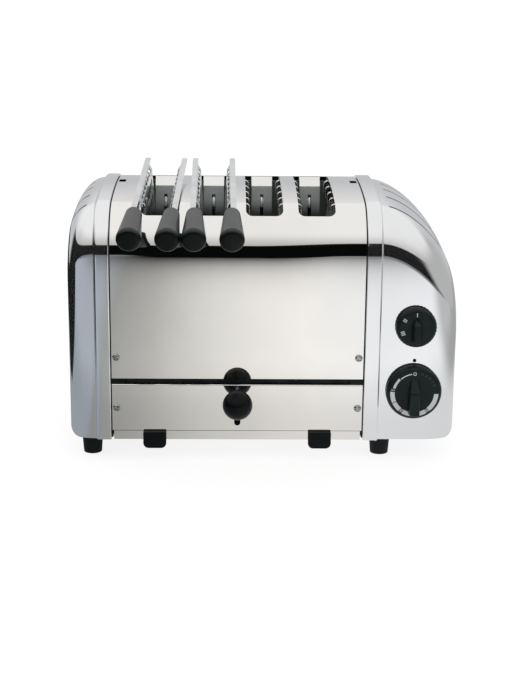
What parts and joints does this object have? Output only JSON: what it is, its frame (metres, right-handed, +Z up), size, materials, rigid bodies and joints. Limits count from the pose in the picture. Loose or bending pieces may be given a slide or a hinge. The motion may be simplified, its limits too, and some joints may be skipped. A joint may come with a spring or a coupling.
{
  "type": "toaster",
  "caption": "Polished metal toaster with front-to-back bread slots, a ball lever that lifts the racks, two dials, a crumb tray and sandwich cages.",
  "frame": {"origin": "On the table, under the middle of the whole outline with the cage handles.", "axes": "+X to the control end, -Y to the front with the lever, +Z up."},
  "size_m": [0.3636, 0.2923, 0.2548],
  "materials": {
    "polished_steel": "polished",
    "polished_aluminium": "polished",
    "plain_steel": "dull",
    "mica_board": "matt",
    "heating_wire": "oxidised",
    "black_plastic": "satin",
    "control_case": "matt",
    "spindle_brass": "turned",
    "foot_rubber": "matt",
    "screw_steel": "plated",
    "cage_steel": "plated"
  },
  "bodies": {
    "body": {"base_plate": "plain_steel", "left_end_casting": "polished_aluminium", "right_end_casting": "polished_aluminium", "top_cover": "polished_steel", "lower_front_panel": "polished_steel", "lower_rear_panel": "polished_steel", "left_heat_shield": "plain_steel", "right_heat_shield": "plain_steel", "front_chamber_plate": "plain_steel", "rear_chamber_plate": "plain_steel", "element_board_1": "mica_board", "element_board_2": "mica_board", "element_board_3": "mica_board", "element_board_4": "mica_board", "element_board_5": "mica_board", "heating_ribbons": "heating_wire", "wire_guard_1": "plain_steel", "wire_guard_2": "plain_steel", "wire_guard_3": "plain_steel", "wire_guard_4": "plain_steel", "lift_guide_rods": "plain_steel", "lever_pivot_pin": "plain_steel", "lever_cross_beam": "plain_steel", "timer_body": "control_case", "selector_body": "control_case", "foot_front_left": "foot_rubber", "foot_front_right": "foot_rubber", "foot_rear_left": "foot_rubber", "foot_rear_right": "foot_rubber", "foot_screws": "screw_steel", "panel_screws": "screw_steel", "shield_screws": "screw_steel", "side_screws": "screw_steel", "cord_gland": "foot_rubber"},
    "lever": {"lever_arm": "plain_steel", "lever_ball": "black_plastic"},
    "carriage": {"lift_bar_front": "plain_steel", "lift_bar_rear": "plain_steel", "bread_rack_1": "plain_steel", "bread_rack_2": "plain_steel", "bread_rack_3": "plain_steel", "bread_rack_4": "plain_steel"},
    "timer": {"timer_knob": "black_plastic", "timer_spindle": "spindle_brass"},
    "selector": {"selector_knob": "black_plastic", "selector_spindle": "spindle_brass"},
    "tray": {"crumb_tray": "polished_steel", "tray_tab_left": "black_plastic", "tray_tab_right": "black_plastic"},
    "cage_1": {"cage_1_left_grid": "cage_steel", "cage_1_left_handle": "black_plastic", "cage_1_hinge_pin": "cage_steel"},
    "cage_1_right": {"cage_1_right_grid": "cage_steel", "cage_1_right_handle": "black_plastic"},
    "cage_2": {"cage_2_left_grid": "cage_steel", "cage_2_left_handle": "black_plastic", "cage_2_hinge_pin": "cage_steel"},
    "cage_2_right": {"cage_2_right_grid": "cage_steel", "cage_2_right_handle": "black_plastic"}
  },
  "joints": [
    {"name": "lever_turn", "type": "hinge", "parent": "body", "child": "lever", "pos_m": [-0.0235, 0.02937, 0.065], "axis": [1, 0, 0], "range_deg": [0, 16.5]},
    {"name": "carriage_lift", "type": "slide", "parent": "body", "child": "carriage", "axis": [0, 0, 1], "range_m": [0, 0.0242]},
    {"name": "timer_turn", "type": "hinge", "parent": "body", "child": "timer", "pos_m": [0.1405, -0.06463, 0.0675], "axis": [0, 1, 0], "range_deg": [0, 270]},
    {"name": "selector_turn", "type": "hinge", "parent": "body", "child": "selector", "pos_m": [0.1405, -0.06463, 0.13], "axis": [0, 1, 0], "range_deg": [0, 150]},
    {"name": "tray_pull", "type": "slide", "parent": "body", "child": "tray", "axis": [0, -1, 0], "range_m": [0, 0.26]},
    {"name": "cage_1_lift_out", "type": "slide", "parent": "carriage", "child": "cage_1", "axis": [0, 0, 1], "range_m": [0, 0.16]},
    {"name": "cage_1_close", "type": "hinge", "parent": "cage_1", "child": "cage_1_right", "pos_m": [-0.0967, 0.03679, 0.10343], "axis": [0.0261, 0.9955, 0.0906], "range_deg": [-4.4, 0]},
    {"name": "cage_2_lift_out", "type": "slide", "parent": "carriage", "child": "cage_2", "axis": [0, 0, 1], "range_m": [0, 0.16]},
    {"name": "cage_2_close", "type": "hinge", "parent": "cage_2", "child": "cage_2_right", "pos_m": [-0.0469, 0.03679, 0.10343], "axis": [-0.007, 0.9959, 0.0906], "range_deg": [-4.4, 0]}
  ],
  "couplings": [
    {"joint": "carriage_lift", "follows": "lever_turn", "m_per_rad": 0.084027}
  ]
}
